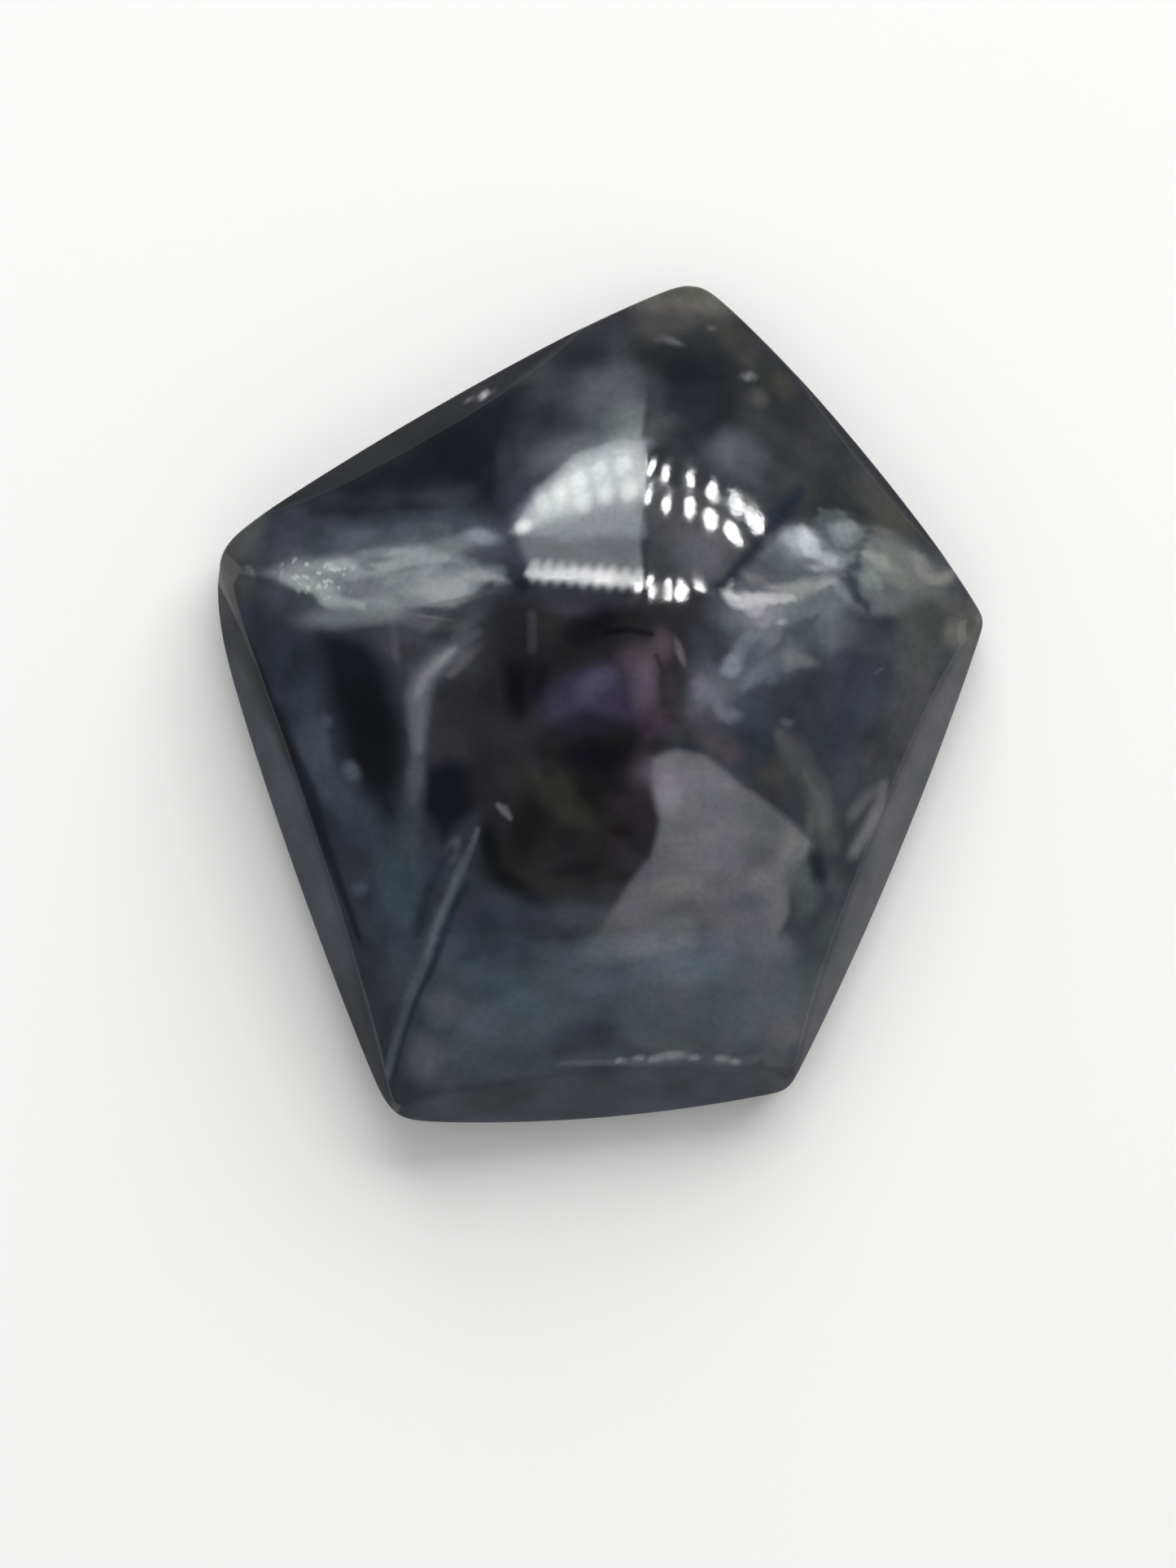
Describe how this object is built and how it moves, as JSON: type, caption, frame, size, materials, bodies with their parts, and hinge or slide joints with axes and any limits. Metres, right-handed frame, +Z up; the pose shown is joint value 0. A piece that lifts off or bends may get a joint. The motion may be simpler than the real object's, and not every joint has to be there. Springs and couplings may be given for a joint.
{
  "type": "polished obsidian cabochon",
  "caption": "Loose five-sided polished stone with a domed, softly faceted top, a steep bevelled edge and a flat back to rest on or to glue into a setting.",
  "frame": {"origin": "on the flat back, under the middle of the stone's outline", "axes": "+Z up out of the flat back through the dome, +Y along the stone's length towards its single top corner, +X to the right seen from above"},
  "size_m": [0.0274, 0.03, 0.0074],
  "materials": {
    "polished_obsidian": "glossy polish, dark blue grey with smoky patches"
  },
  "bodies": {
    "root": {"stone": "polished_obsidian"}
  },
  "joints": []
}
